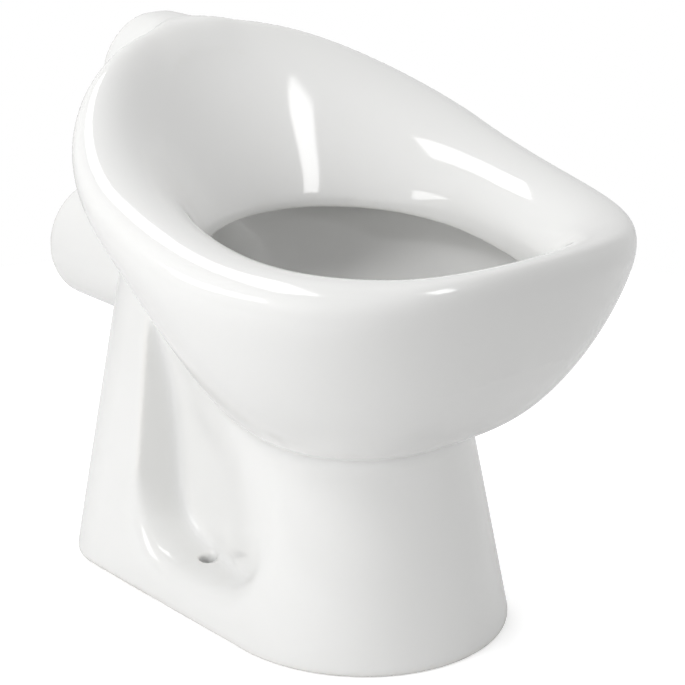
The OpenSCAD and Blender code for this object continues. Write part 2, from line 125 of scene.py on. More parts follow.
# Boxes that show in the glaze: name, azimuth, elevation, distance, width and height, level and roll
SHINES = (
    ("side_shine", -79, 18, 1.6, (0.4, 1.0), 3.0, -74),
    ("top_shine", -19, 71, 1.5, (1.3, 0.36), 3.6, 28),
    ("front_shine", 179, 44.5, 1.8, (0.3, 0.8), 4.6, -2),
)
# Lamps that only light: name, azimuth, elevation and level
FILLS = (
    ("left_fill", -105, 12, 7.0),
    ("right_fill", 125, 12, 4.1),
    ("high_fill", -75, 42, 5.7),
    ("back_fill", 25, 42, 6.2),
    ("top_fill", -150, 75, 3.4),
)
FILL_DISTANCE = 1.7
FILL_SIZE = (0.7, 0.7)
SENSOR_WIDTH = 36
CLIP_START = 0.01


def length(name, millimetres, text):
    """A size that a user may change, shown in the scene's length unit."""
    return FloatProperty(name=name, description=text, default=millimetres * MM, unit="LENGTH")


class ChinaSizes(bpy.types.PropertyGroup):
    """Sizes of the china. Reaches start at the foot's middle, the centre of its round front."""

    rim_width: length("Rim Width", 379, "Overall width of the rim")
    nose_reach: length("Nose Reach", 190, "From the foot's middle forward to the nose of the rim")
    rear_reach: length("Rear Reach", 208, "From the foot's middle back to the rear of the rim")
    front_height: length("Front Height", 321, "Height of the front crest before its edge is rounded")
    back_rise: length("Back Rise", 123, "How much higher the back crest is than the front")
    nose_lift: length("Nose Lift", 23, "Extra lift of the crest at the nose")
    rim_side: length("Rim Side", 79, "Breadth of the rim at each side, at its lower edge")
    rim_front: length("Rim Front", 41, "Breadth of the rim at the nose, at its lower edge")
    rim_back: length("Rim Back", 97, "Breadth of the rim at the back, at its lower edge")
    flare_side: length("Flare Side", 38, "How much the opening widens at each side")
    flare_front: length("Flare Front", 14, "How much the opening lengthens at the nose")
    flare_back: length("Flare Back", 84, "How much the opening lengthens at the back")
    rim_depth: length("Rim Depth", 36.5, "From the rim's lower edge up to the front crest")
    shoulder: length("Shoulder", 55, "Rounding of the outer shoulder of the rim")
    lip: length("Lip", 34, "Rounding of the inner edge of the rim")
    rim_wall: length("Rim Wall", 8, "China thickness of the hollow rim")
    floor_thickness: length("Ring Thickness", 7, "Thickness of the flush ring")
    flush_hole: length("Flush Hole", 6, "Diameter of each flush hole")
    hole_land: length("Hole Land", 1.5, "China beside each flush hole")
    inlet_bore: length("Inlet Bore", 55, "Bore for the flush pipe")
    inlet_diameter: length("Inlet Diameter", 104, "Outer diameter of the inlet boss")
    inlet_height: length("Inlet Height", 377, "Height of the inlet's axis")
    boss_length: length("Boss Length", 41, "From the rear of the rim back to the end of the boss")
    bowl_wall: length("Bowl Wall", 10, "China thickness of the bowl")
    well_width: length("Well Width", 150, "Width of the round well at the bottom of the bowl")
    well_length: length("Well Length", 152, "Length of the well")
    well_place: length("Well Place", 70, "From the foot's middle back to the middle of the well")
    well_bottom: length("Well Bottom", 104, "Height of the well's lowest point")
    well_depth: length("Well Depth", 56, "From the well's lowest point up to its widest part")
    trap_bore: length("Trap Bore", 50, "Bore of the trap")
    outlet_diameter: length("Outlet Diameter", 102, "Outer diameter of the outlet spigot")
    outlet_wall: length("Outlet Wall", 9, "China thickness of the outlet spigot")
    outlet_height: length("Outlet Height", 222.5, "Height of the outlet's axis")
    outlet_reach: length("Outlet Reach", 339, "From the foot's middle back to the end of the outlet")
    foot_front_width: length("Foot Front Width", 229, "Width of the foot at the front")
    foot_rear_width: length("Foot Rear Width", 232, "Width of the foot at the back")
    toe_reach: length("Toe Reach", 120, "From the foot's middle forward to the toe")
    heel_reach: length("Heel Reach", 259.5, "From the foot's middle back to the heel")
    column_height: length("Column Height", 330, "Height of the rear column's top")
    foot_wall: length("Foot Wall", 10, "China thickness of the pedestal")
    niche_front: length("Niche Front", 5, "From the foot's middle forward to a niche's front edge")
    niche_rear: length("Niche Rear", 139, "From the foot's middle back to a niche's rear edge")
    niche_floor: length("Niche Floor", 33, "Height of the niche's floor")
    niche_round: length("Niche Round", 97, "Height at which the niche's round bottom ends")
    niche_wall: length("Niche Wall", 65, "From the middle plane out to the niche's back wall")
    fixing_spacing: length("Fixing Spacing", 160, "Distance between the two fixing holes")
    fixing_place: length("Fixing Place", 83, "From the foot's middle back to the fixing holes")
    fixing_diameter: length("Fixing Diameter", 13, "Diameter of the fixing holes")
    mesh_step: length("Mesh Step", 4.8, "Size of the skin's faces")
    flush_holes: IntProperty(
        name="Flush Holes", description="Number of flush holes", default=24, min=8)


class GlazeLook(bpy.types.PropertyGroup):
    """Colours and gloss of the china."""

    white: FloatVectorProperty(
        name="Glaze White", description="Colour of the glaze where it is even",
        subtype="COLOR", size=3, default=(0.80, 0.80, 0.79), min=0, max=1)
    thin: FloatVectorProperty(
        name="Thin Glaze", description="Colour where the glaze runs thin over an edge",
        subtype="COLOR", size=3, default=(0.77, 0.755, 0.72), min=0, max=1)
    pooled: FloatVectorProperty(
        name="Pooled Glaze", description="Colour where the glaze pools in a hollow",
        subtype="COLOR", size=3, default=(0.79, 0.80, 0.80), min=0, max=1)
    bare: FloatVectorProperty(
        name="Bare China", description="Colour of the unglazed china under the foot",
        subtype="COLOR", size=3, default=(0.66, 0.60, 0.51), min=0, max=1)
    roughness: FloatProperty(
        name="Gloss Roughness", description="Roughness of the glaze",
        default=0.07, min=0, max=1, subtype="FACTOR")


class StudioLook(bpy.types.PropertyGroup):
    """The camera's place and the level of the light."""

    azimuth: FloatProperty(
        name="Camera Azimuth", description="Turn of the camera round the toilet",
        default=math.radians(-40.57), subtype="ANGLE", unit="ROTATION")
    elevation: FloatProperty(
        name="Camera Elevation", description="Angle of the camera above the horizon",
        default=math.radians(19.29), subtype="ANGLE", unit="ROTATION")
    distance: length("Camera Distance", 1467.9, "From the camera to the point it looks at")
    aim: FloatVectorProperty(
        name="Camera Aim", description="The point that the camera looks at",
        subtype="TRANSLATION", unit="LENGTH", size=3, default=(-0.01429, -0.083, 0.21846))
    lens: FloatProperty(
        name="Lens", description="Focal length in millimetres", default=105.1, min=10)
    ambient: FloatProperty(
        name="Ambient", description="Level of the even light", default=0.37, min=0)
    floor_radius: length("Floor Radius", 900, "Radius of the floor round the toilet")


def smooth_min(a, b, k):
    """Union of two distances with a fillet that begins k before they meet."""
    h = np.maximum(k - np.abs(a - b), 0) / k
    return np.minimum(a, b) - h * h * h * k / 6


def smooth_max(a, b, k):
    """Intersection of two distances with a rounded edge."""
    return -smooth_min(-a, -b, k)


def blunt(x, y, a, b, power):
    """How far out a point lies in a blunt ellipse, as a share of it, and how fast that grows."""
    u = np.abs(x) / a + SMALL
    v = np.abs(y) / b + SMALL
    share = (u**power + v**power) ** (1 / power)
    slope = np.sqrt((u ** (power - 1) / a) ** 2 + (v ** (power - 1) / b) ** 2) / share ** (power - 1)
    return share, slope


def millimetres(sizes):
    """The sizes as plain numbers in millimetres."""
    other = ("rna_type", "name", "flush_holes")
    names = [n for n in sizes.bl_rna.properties.keys() if n not in other]
    return SimpleNamespace(**{n: getattr(sizes, n) / MM for n in names})


class China:
    """Distance to the china's surface in millimetres, negative inside.

    x is across, y runs back from the foot's middle and z is the height, all three as arrays.
    """

    # The crest is level along the front and climbs over this length to the back
    CLIMB_START = -150.0
    CLIMB_LENGTH = 385.0
    CLIMB_LAND = 8.0
    CLIMB_POWER = 2.5
    CLIMB_STOP = 1.3
    NOSE_START = -140.0
    NOSE_LENGTH = 75.0
    NOSE_POWER = 2.2
    NOSE_STOP = 1.4
    EDGE_SLOPE = 0.11
    # Plan of the bowl at its widest, before the shoulder's rounding draws it in
    EGG_Y = 54.0
    EGG_SIDE = 13.5
    EGG_FRONT = 4.0
    EGG_BACK = 14.0
    BLUNT_FRONT = 2.57
    BLUNT_BACK = 1.91
    # The belly lies below the crest and the bowl tapers and slides back under it
    BELLY_DROP = 14.0
    BELLY_TILT = 11.6
    BELLY_SOFT = 26.0
    TILT_LENGTH = 200.0
    TILT_STOP = 1.2
    TAPER = 0.32
    TAPER_BACK = 0.385
    TAPER_CURVE = 0.035
    TAPER_LENGTH = 150.0
    TAPER_STOP = 1.9
    TAPER_LEAST = 0.05
    SLIDE_BACK = 0.385
    SHOULDER_TILT = 20.0
    TOP_SLOPE = 0.94
    TOP_LIFT = 1.3
    # The opening
    MOUTH_Y = 1.5
    MOUTH_BLUNT_FRONT = 2.2
    MOUTH_BLUNT_BACK = 2.0
    MOUTH_POWER = 1.35
    MOUTH_STOP = 1.4
    MOUTH_DIP = 6.0
    # The tapering bowl ends above its well
    WELL_CUT = 46.0
    WELL_BLEND = 30.0
    TAPER_END = 50.0
    # Draw-in of the pedestal for each millimetre up
    FRONT_DRAFT = 0.2
    SIDE_DRAFT = 0.115
    HEEL_DRAFT = 0.148
    HEEL_ROUND = 66.0
    SIDE_BLEND = 150.0
    COLUMN_ROUND = 30.0
    # The niches
    NICHE_BLUNT = 2.6
    NICHE_LEAN = 39.0
    NICHE_LEAN_LENGTH = 54.0
    NICHE_LEAN_START = 110.0
    NICHE_LEAN_STOP = 80.0
    NICHE_LEAST = 12.0
    NICHE_SWEEP = 0.0018
    NICHE_SWEEP_LAND = 2.0
    NICHE_WALL_SLOPE = 0.95
    NICHE_RISE = 0.0014
    NICHE_RISE_START = 100.0
    NICHE_BACK_ROUND = 16.0
    NICHE_FLOOR_ROUND = 16.0
    NICHE_FLOOR_DIP = 3.0
    # Rounding of the niche's rear edge, and how much softer its front and its bottom are
    NICHE_EDGE_ROUND = 6.0
    NICHE_EDGE_SOFT = 24.0
    NICHE_CRISP_Y = 95.0
    NICHE_CRISP_HEIGHT = 60.0
    NICHE_CRISP_FADE = 40.0
    # Fillets and rounded edges
    BOWL_FILLET = 19.0
    SPIGOT_FILLET = 14.0
    INLET_FILLET = 16.0
    HOLLOW_FILLET = 14.0
    EDGE_ROUND = 5.0
    END_ROUND = 9.0
    FOOT_EDGE = 5.0
    # Rounding of the pedestal's outer edge at the floor
    BASE_EDGE = 7.0
    HOLE_EDGE = 4.0
    TRAP_LIP = 14.0
    # Where the boss, the spigot, the weir's web and the rim's rear chamber begin
    BOSS_START = 160.0
    SPIGOT_START = 150.0
    WEB_START = 214.0
    CHAMBER_START = 120.0
    WEB_END = 231.5
    # The room round the weir's tube in the web, and round the trap under the well
    TUBE_FIT = 31.5
    TUBE_LEAD = 10.0
    TRAP_FIT = 0.3
    # The groove over the flush ring, and how far it reaches below the ring
    CHANNEL_HEIGHT = 12.0
    CHANNEL_DIP = 5.0
    # How much thicker the skin is over the hidden spaces than the stated walls
    SPARE_WALL = 4.0
    # From the rear of the rim forward to the start of the inlet bore
    BORE_LEAD = 20.0
    # The pads round the fixing holes under the niches
    PAD_RADIUS = 17.0
    PAD_HEIGHT = 20.0

    def __init__(self, sizes):
        self.s = millimetres(sizes)
        self.inlet_reach = self.s.rear_reach + self.s.boss_length
        run = (self.s.rear_reach - self.CLIMB_LAND - self.CLIMB_START) / self.CLIMB_LENGTH
        self.climb = self.s.back_rise / run**self.CLIMB_POWER

    def crown(self, y):
        run = np.clip((y - self.CLIMB_START) / self.CLIMB_LENGTH, 0, self.CLIMB_STOP)
        return self.s.front_height + self.climb * run**self.CLIMB_POWER

    def crest(self, y):
        """Height of the crest line, with the small lift at the nose."""
        nose = np.clip((self.NOSE_START - y) / self.NOSE_LENGTH, 0, self.NOSE_STOP)
        return self.crown(y) + self.s.nose_lift * nose**self.NOSE_POWER

    def edge_height(self, y):
        """Height of the rim's lower edge."""
        return self.s.front_height - self.s.rim_depth + self.EDGE_SLOPE * y

    def skin(self, x, y, z):
        """Outside of the bowl and rim."""
        s = self.s
        t = np.clip(y / self.TILT_LENGTH, -self.TILT_STOP, self.TILT_STOP)
        w = self.crown(y) - self.BELLY_DROP + self.BELLY_TILT * t - z
        q = np.sqrt(w * w + self.BELLY_SOFT**2)
        drop = (w + q) / 2
        steps = np.minimum(drop / self.TAPER_LENGTH, self.TAPER_STOP)
        taper = self.TAPER + self.TAPER_BACK * t
        share = np.maximum(1 - taper * steps - self.TAPER_CURVE * steps * steps, self.TAPER_LEAST)
        yy = y - self.SLIDE_BACK * drop - self.EGG_Y
        front = yy < 0
        reach = np.where(front, s.nose_reach + self.EGG_Y + self.EGG_FRONT,
                         s.rear_reach - self.EGG_Y + self.EGG_BACK)
        power = np.where(front, self.BLUNT_FRONT, self.BLUNT_BACK)
        out, slope = blunt(x, yy, s.rim_width / 2 + self.EGG_SIDE, reach, power)
        lean = (taper + 2 * self.TAPER_CURVE * steps) / self.TAPER_LENGTH * (1 + w / q) / 2
        side = (out - share) / np.sqrt(slope * slope + lean * lean)
        top = (z - self.crest(y)) * self.TOP_SLOPE + self.TOP_LIFT
        return smooth_max(side, top, s.shoulder + self.SHOULDER_TILT * t)

    def mouth(self, x, y, z):
        """The opening through the rim."""
        s = self.s
        low = self.edge_height(y)
        h = np.clip((z - low) / (self.crest(y) - low), 0, self.MOUTH_STOP)
        yy = y - self.MOUTH_Y
        front = yy < 0
        half = s.rim_width / 2 - s.rim_side + s.flare_side * h * h
        ahead = s.nose_reach + self.MOUTH_Y - s.rim_front + s.flare_front * h * h
        behind = s.rear_reach - self.MOUTH_Y - s.rim_back + s.flare_back * h**self.MOUTH_POWER
        reach = np.where(front, ahead, behind)
        power = np.where(front, self.MOUTH_BLUNT_FRONT, self.MOUTH_BLUNT_BACK)
        share, slope = blunt(x, yy, half, reach, power)
        return (share - 1) / slope

    def well(self, x, y, z):
        s = self.s
        a, b, c = s.well_width / 2, s.well_length / 2, s.well_depth
        p, q, r = x / a, (y - s.well_place) / b, (z - s.well_bottom - c) / c
        share = np.sqrt(p * p + q * q + r * r) + TINY
        return (share - 1) * share / (np.sqrt((p / a) ** 2 + (q / b) ** 2 + (r / c) ** 2) + TINY)

    def bowl(self, x, y, z):
        """Outside of the bowl with its well."""
        cut = smooth_max(self.skin(x, y, z), self.s.well_bottom + self.WELL_CUT - z, self.TAPER_END)
        return smooth_min(cut, self.well(x, y, z), self.WELL_BLEND)

    def foot(self, x, y, z, inset=0.0):
        """Outline of the pedestal, set in by a wall."""
        s = self.s
        front_half = s.foot_front_width / 2 - self.FRONT_DRAFT * z - inset
        rear_half = s.foot_rear_width / 2 - self.SIDE_DRAFT * z - inset
        toe = s.toe_reach - self.FRONT_DRAFT * z - inset
        heel = s.heel_reach - self.HEEL_DRAFT * z - inset
        t = np.clip(y / self.SIDE_BLEND, 0, 1)
        half = front_half + (rear_half - front_half) * t * t * (3 - 2 * t)
        across = np.abs(x) / half
        ahead = np.maximum(-y, 0) / toe
        share = np.sqrt(across * across + ahead * ahead) + TINY
        slope = np.sqrt((across / half) ** 2 + (ahead / toe) ** 2) / share + TINY
        r = self.HEEL_ROUND - inset
        side, back = np.abs(x) - (half - r), y - (heel - r)
        corner = np.sqrt(np.maximum(side, 0) ** 2 + np.maximum(back, 0) ** 2)
        rear = np.minimum(np.maximum(side, back), 0) + corner - r
        return np.where(y < 0, (share - 1) / slope, rear)

    def niche(self, x, y, z):
        """The space of the two side niches."""
        s = self.s
        lean = np.clip(z - self.NICHE_LEAN_START, 0, self.NICHE_LEAN_STOP) / self.NICHE_LEAN_LENGTH
        front = self.NICHE_LEAN * lean * lean - s.niche_front
        mid = (s.niche_rear + front) / 2
        half = np.maximum((s.niche_rear - front) / 2, self.NICHE_LEAST)
        deep = s.niche_round - s.niche_floor
        share, slope = blunt(y - mid, np.maximum(s.niche_round - z, 0), half, deep, self.NICHE_BLUNT)
        outline = (share - 1) / slope
        sweep = np.maximum(s.niche_rear - self.NICHE_SWEEP_LAND - y, 0)
        rise = np.maximum(z - self.NICHE_RISE_START, 0)
        wall = s.niche_wall + self.NICHE_SWEEP * sweep**2 + self.NICHE_RISE * rise**2
        depth = (wall - np.abs(x)) * self.NICHE_WALL_SLOPE
        open_side = smooth_max(outline, depth, self.NICHE_BACK_ROUND)
        floor = s.niche_floor - self.NICHE_FLOOR_DIP - z
        return smooth_max(open_side, floor, self.NICHE_FLOOR_ROUND)

    def bar(self, x, z, height, radius):
        """A round bar along y at a height."""
        return np.sqrt(x * x + (z - height) ** 2) - radius

    def fixing(self, x, y):
        """Distance from the nearer fixing hole's axis."""
        return np.sqrt((np.abs(x) - self.s.fixing_spacing / 2) ** 2 + (y - self.s.fixing_place) ** 2)

    def solid(self, x, y, z):
        """The whole body without its hollows."""
        s = self.s
        column = smooth_max(self.foot(x, y, z), z - s.column_height, self.COLUMN_ROUND)
        crisp = (np.clip((y - self.NICHE_CRISP_Y) / self.NICHE_CRISP_FADE, 0, 1)
                 * np.clip((z - self.NICHE_CRISP_HEIGHT) / self.NICHE_CRISP_FADE, 0, 1))
        soft = self.NICHE_EDGE_ROUND + self.NICHE_EDGE_SOFT * (1 - crisp)
        column = smooth_max(column, -self.niche(x, y, z), soft)
        body = smooth_min(self.bowl(x, y, z), column, self.BOWL_FILLET)
        spigot = smooth_max(self.bar(x, z, s.outlet_height, s.outlet_diameter / 2),
                            y - s.outlet_reach, self.END_ROUND)
        spigot = np.maximum(spigot, self.SPIGOT_START - y)
        boss = smooth_max(self.bar(x, z, s.inlet_height, s.inlet_diameter / 2),
                          y - self.inlet_reach, self.END_ROUND)
        boss = np.maximum(boss, self.BOSS_START - y)
        body = smooth_min(smooth_min(body, spigot, self.SPIGOT_FILLET), boss, self.INLET_FILLET)
        return smooth_max(body, z - s.inlet_height - s.inlet_diameter / 2, self.END_ROUND / 2)

    def basin(self, x, y, z):
        """The space inside the bowl, up to the underside of the flush ring."""
        roof = z - (self.edge_height(y) - self.s.floor_thickness)
        return smooth_max(self.bowl(x, y, z) + self.s.bowl_wall, roof, self.EDGE_ROUND)

    def channel(self, x, y, z):
        """The groove over the flush ring and the chamber behind the inlet."""
        s = self.s
        edge = self.edge_height(y)
        wall = s.rim_wall + self.SPARE_WALL
        inside = smooth_max(self.skin(x, y, z), -self.mouth(x, y, z), s.lip) + wall
        inside = np.maximum(inside, self.bowl(x, y, z) + s.bowl_wall)
        ends = np.minimum(self.CHAMBER_START - y, z - edge - self.CHANNEL_HEIGHT)
        bottom = edge - s.floor_thickness - self.CHANNEL_DIP
        return np.maximum(smooth_max(inside, ends, self.EDGE_ROUND), bottom - z)

    def hollow(self, x, y, z):
        """The space under the pedestal, open at the floor."""
        s = self.s
        space = smooth_max(self.foot(x, y, z, s.foot_wall), z - s.column_height + s.foot_wall,
                           self.HOLLOW_FILLET)
        niche_wall = s.foot_wall + self.SPARE_WALL
        space = smooth_max(space, niche_wall - self.niche(x, y, z), self.HOLLOW_FILLET)
        space = smooth_max(space, self.SPARE_WALL - self.bowl(x, y, z), self.HOLLOW_FILLET)
        web = np.maximum(self.bar(x, z, s.outlet_height, s.outlet_diameter / 2), self.WEB_START - y)
        space = np.maximum(space, -web)
        pad = np.maximum(self.fixing(x, y) - self.PAD_RADIUS, self.PAD_HEIGHT - z)
        return smooth_max(space, -pad, self.HOLE_EDGE)

    def field(self, x, y, z):
        """The finished china."""
        s = self.s
        opening = np.maximum(self.mouth(x, y, z), self.edge_height(y) - self.MOUTH_DIP - z)
        body = smooth_max(smooth_max(self.solid(x, y, z), -z, self.BASE_EDGE), -opening, s.lip)
        body = smooth_max(body, -self.basin(x, y, z), self.EDGE_ROUND)
        body = smooth_max(body, -self.channel(x, y, z), self.EDGE_ROUND)
        body = smooth_max(body, -self.hollow(x, y, z), self.FOOT_EDGE)
        holes = np.maximum(self.fixing(x, y) - s.fixing_diameter / 2, z - s.niche_round)
        body = smooth_max(body, -holes, self.HOLE_EDGE)
        bore = self.bar(x, z, s.outlet_height, s.outlet_diameter / 2 - s.outlet_wall)
        body = smooth_max(body, -np.maximum(bore, self.WEB_END - y), self.HOLE_EDGE)
        tube = self.bar(x, z, s.outlet_height, self.TUBE_FIT)
        body = np.maximum(body, -np.maximum(tube, self.WEB_START - self.TUBE_LEAD - y))
        inlet = self.bar(x, z, s.inlet_height, s.inlet_bore / 2)
        inlet = np.maximum(inlet, s.rear_reach - self.BORE_LEAD - y)
        body = smooth_max(body, -inlet, self.HOLE_EDGE)
        trap = np.sqrt(x * x + (y - s.well_place) ** 2) - s.trap_bore / 2 - self.TRAP_FIT
        trap = np.maximum(trap, z - s.well_bottom - s.well_depth)
        return smooth_max(body, -trap, self.TRAP_LIP)


def gradient(field, points, step):
    """Slope of a field at points by central differences."""
    slope = np.empty_like(points)
    for k in range(3):
        ahead, behind = points.copy(), points.copy()
        ahead[:, k] += step
        behind[:, k] -= step
        slope[:, k] = (field(*ahead.T) - field(*behind.T)) / (2 * step)
    return slope


def facing(field, points, step):
    """Unit vectors that point straight out of the surface."""
    slope = gradient(field, points, step)
    return slope / np.maximum(np.linalg.norm(slope, axis=1), SMALL)[:, None]


def snap(field, points, rounds, limit, step=SNAP_STEP):
    """Moves points onto the field's surface, each round by at most a limit."""
    for _ in range(rounds):
        value = field(*points.T)
        slope = gradient(field, points, step)
        move = (value / np.maximum((slope**2).sum(1), LEAST_SLOPE))[:, None] * slope
        size = np.linalg.norm(move, axis=1)
        points = points - move * np.minimum(1, limit / np.maximum(size, TINY))[:, None]
    return points


def surface_net(field, low, high, step):
    """Closed quads round a field's zero level, with one point in each cell that it crosses."""
    half = math.ceil(high[0] / step) + 1
    xs = (np.arange(-half, half) + 0.5) * step
    ys = np.arange(low[1] - NET_MARGIN * step, high[1] + NET_MARGIN * step, step)
    zs = np.arange(low[2] - NET_DROP * step, high[2] + NET_MARGIN * step, step)
    grid = (len(xs), len(ys), len(zs))
    values = np.empty(grid)
    for i, x in enumerate(xs):
        values[i] = field(np.full((len(ys), 1), x), ys[:, None], zs[None, :])
    inside = values < 0
    total = np.zeros((3, values.size))
    count = np.zeros(values.size)
    quads = []
    for axis in range(3):
        lower, upper = [slice(None)] * 3, [slice(None)] * 3
        lower[axis], upper[axis] = slice(None, -1), slice(1, None)
        start, end = values[tuple(lower)], values[tuple(upper)]
        at = np.argwhere(inside[tuple(lower)] != inside[tuple(upper)])
        a, b = start[tuple(at.T)], end[tuple(at.T)]
        point = at.astype(float)
        point[:, axis] += a / (a - b)
        u, v = (axis + 1) % 3, (axis + 2) % 3
        corners = []
        for du, dv in ((0, 0), (-1, 0), (-1, -1), (0, -1)):
            cell = at.copy()
            cell[:, u] += du
            cell[:, v] += dv
            key = np.ravel_multi_index(cell.T, grid)
            corners.append(key)
            count += np.bincount(key, minlength=values.size)
            for k in range(3):
                total[k] += np.bincount(key, point[:, k], values.size)
        loop = np.stack(corners, 1)
        loop[a > b] = loop[a > b][:, ::-1]
        quads.append(loop)
    quads = np.concatenate(quads)
    used, index = np.unique(quads, return_inverse=True)
    points = (total[:, used] / count[used]).T * step
    points += (xs[0], ys[0], zs[0])
    return points, index.reshape(-1, 4)


def relax(field, points, quads, rounds):
    """Evens out the quads along the surface."""
    a = np.concatenate([quads.ravel(), np.roll(quads, -1, axis=1).ravel()])
    b = np.concatenate([np.roll(quads, -1, axis=1).ravel(), quads.ravel()])
    share = np.bincount(a, minlength=len(points))[:, None]
    for _ in range(rounds):
        mean = np.stack([np.bincount(a, points[b, k], len(points)) for k in range(3)], 1) / share
        normal = facing(field, points, WIDE_STEP)
        move = (mean - points) * RELAX_SHARE
        move -= (move * normal).sum(1)[:, None] * normal
        points = snap(field, points + move, rounds=1, limit=1.0)
    return points


def to_frame(points, sizes):
    """Millimetres from the foot's middle to metres from the fixing holes."""
    return (points - (0, sizes.fixing_place / MM, 0)) * MM


def read_points(mesh, sizes):
    """A mesh's points in millimetres from the foot's middle."""
    co = np.empty(len(mesh.vertices) * 3)
    mesh.vertices.foreach_get("co", co)
    return co.reshape(-1, 3) / MM + (0, sizes.fixing_place / MM, 0)


def make_object(name, vertices, faces, edges=()):
    mesh = bpy.data.meshes.new(name)
    mesh.from_pydata([tuple(v) for v in vertices], list(edges), [tuple(f) for f in faces])
    mesh.update()
    obj = bpy.data.objects.new(name, mesh)
    bpy.context.scene.collection.objects.link(obj)
    return obj


def refine(mesh, field, sizes, turn_limit):
    """Splits the faces that turn by more than a limit, and snaps the new points to the surface."""
    normal = facing(field, read_points(mesh, sizes), WIDE_STEP)
    old = len(normal)
    work = bmesh.new()
    work.from_mesh(mesh)
    corners = np.array([[v.index for v in (*f.verts, f.verts[-1])][:4] for f in work.faces])
    middle = normal[corners].sum(1)
    middle /= np.linalg.norm(middle, axis=1)[:, None]
    turn = (normal[corners] * middle[:, None, :]).sum(2).min(1)
    sharp = turn < math.cos(turn_limit)
    edges = {e for f, s in zip(work.faces, sharp) if s for e in f.edges}
    bmesh.ops.subdivide_edges(work, edges=list(edges), cuts=1, use_grid_fill=True)
    work.to_mesh(mesh)
    work.free()
    points = read_points(mesh, sizes)
    points[old:] = snap(field, points[old:], rounds=4, limit=0.8, step=FINE_STEP)
    mesh.vertices.foreach_set("co", to_frame(points, sizes).ravel())
    mesh.update()


def add_attribute(mesh, name, values):
    attribute = mesh.attributes.new(name, "FLOAT", "POINT")
    attribute.data.foreach_set("value", values.astype(np.float32))


def finish_mesh(mesh, china, sizes):
    """Smooth shading from the true surface, and the glaze's depth and bare places as attributes."""
    points = read_points(mesh, sizes)
    normal = facing(china.field, points, SHADE_STEP)
    mesh.shade_smooth()
    mesh.normals_split_custom_set_from_vertices([tuple(n) for n in normal])
    steps = BEND_REACH * np.concatenate([np.eye(3), -np.eye(3)])
    around = sum(china.field(*(points + step).T) for step in steps)
    bend = (around - len(steps) * china.field(*points.T)) / BEND_REACH**2
    add_attribute(mesh, "edge", np.clip((bend - EDGE_BEND) / EDGE_RANGE, 0, 1))
    add_attribute(mesh, "hollow", np.clip((-bend - HOLLOW_BEND) / HOLLOW_RANGE, 0, 1))
    base = (points[:, 2] < BASE_HEIGHT) & (china.foot(*points.T) < -BASE_INSET)
    under = np.maximum(np.abs(china.hollow(*points.T)) < UNDER_REACH, base)
    add_attribute(mesh, "bare", under.astype(float))


class Wire:
    """A shader socket that adds Math nodes when it is used in an expression."""

    def __init__(self, tree, socket):
        self.tree = tree
        self.socket = socket

    @staticmethod
    def make(tree, kind, settings=None, sockets=None, out=0):
        """Any node: its type, its settings, and the values or wires of its sockets."""
        node = tree.nodes.new(kind)
        for name, value in (settings or {}).items():
            setattr(node, name, value)
        for name, value in (sockets or {}).items():
            if isinstance(value, Wire):
                tree.links.new(value.socket, node.inputs[name])
            else:
                node.inputs[name].default_value = value
        return Wire(tree, node.outputs[out]) if node.outputs else None

    def math(self, operation, a, b):
        return Wire.make(self.tree, "ShaderNodeMath", {"operation": operation}, {0: a, 1: b})

    def __add__(self, other):
        return self.math("ADD", self, other)

    def __radd__(self, other):
        return self.math("ADD", other, self)

    def __mul__(self, other):
        return self.math("MULTIPLY", self, other)


def new_material(name):
    """An empty node material and its tree."""
    material = bpy.data.materials.new(name)
    material.use_nodes = True
    material.node_tree.nodes.clear()
    return material, material.node_tree


def noise(tree, place, scale, detail=1.0):
    """Fractal noise over the object's own coordinates, from 0 to 1."""
    sockets = {"Vector": place, "Scale": scale, "Detail": detail}
    return Wire.make(tree, "ShaderNodeTexNoise", None, sockets)


def mix_colour(tree, factor, a, b):
    """Colour a turning into colour b."""
    node = tree.nodes.new("ShaderNodeMix")
    node.data_type = "RGBA"
    for socket, value in ((node.inputs[0], factor), (node.inputs[6], a), (node.inputs[7], b)):
        if isinstance(value, Wire):
            tree.links.new(value.socket, socket)
        else:
            socket.default_value = (*value, 1)
    return Wire(tree, node.outputs[2])


def attribute(tree, name):
    """A value that the mesh carries at each point."""
    return Wire.make(tree, "ShaderNodeAttribute", {"attribute_name": name}, out="Fac")


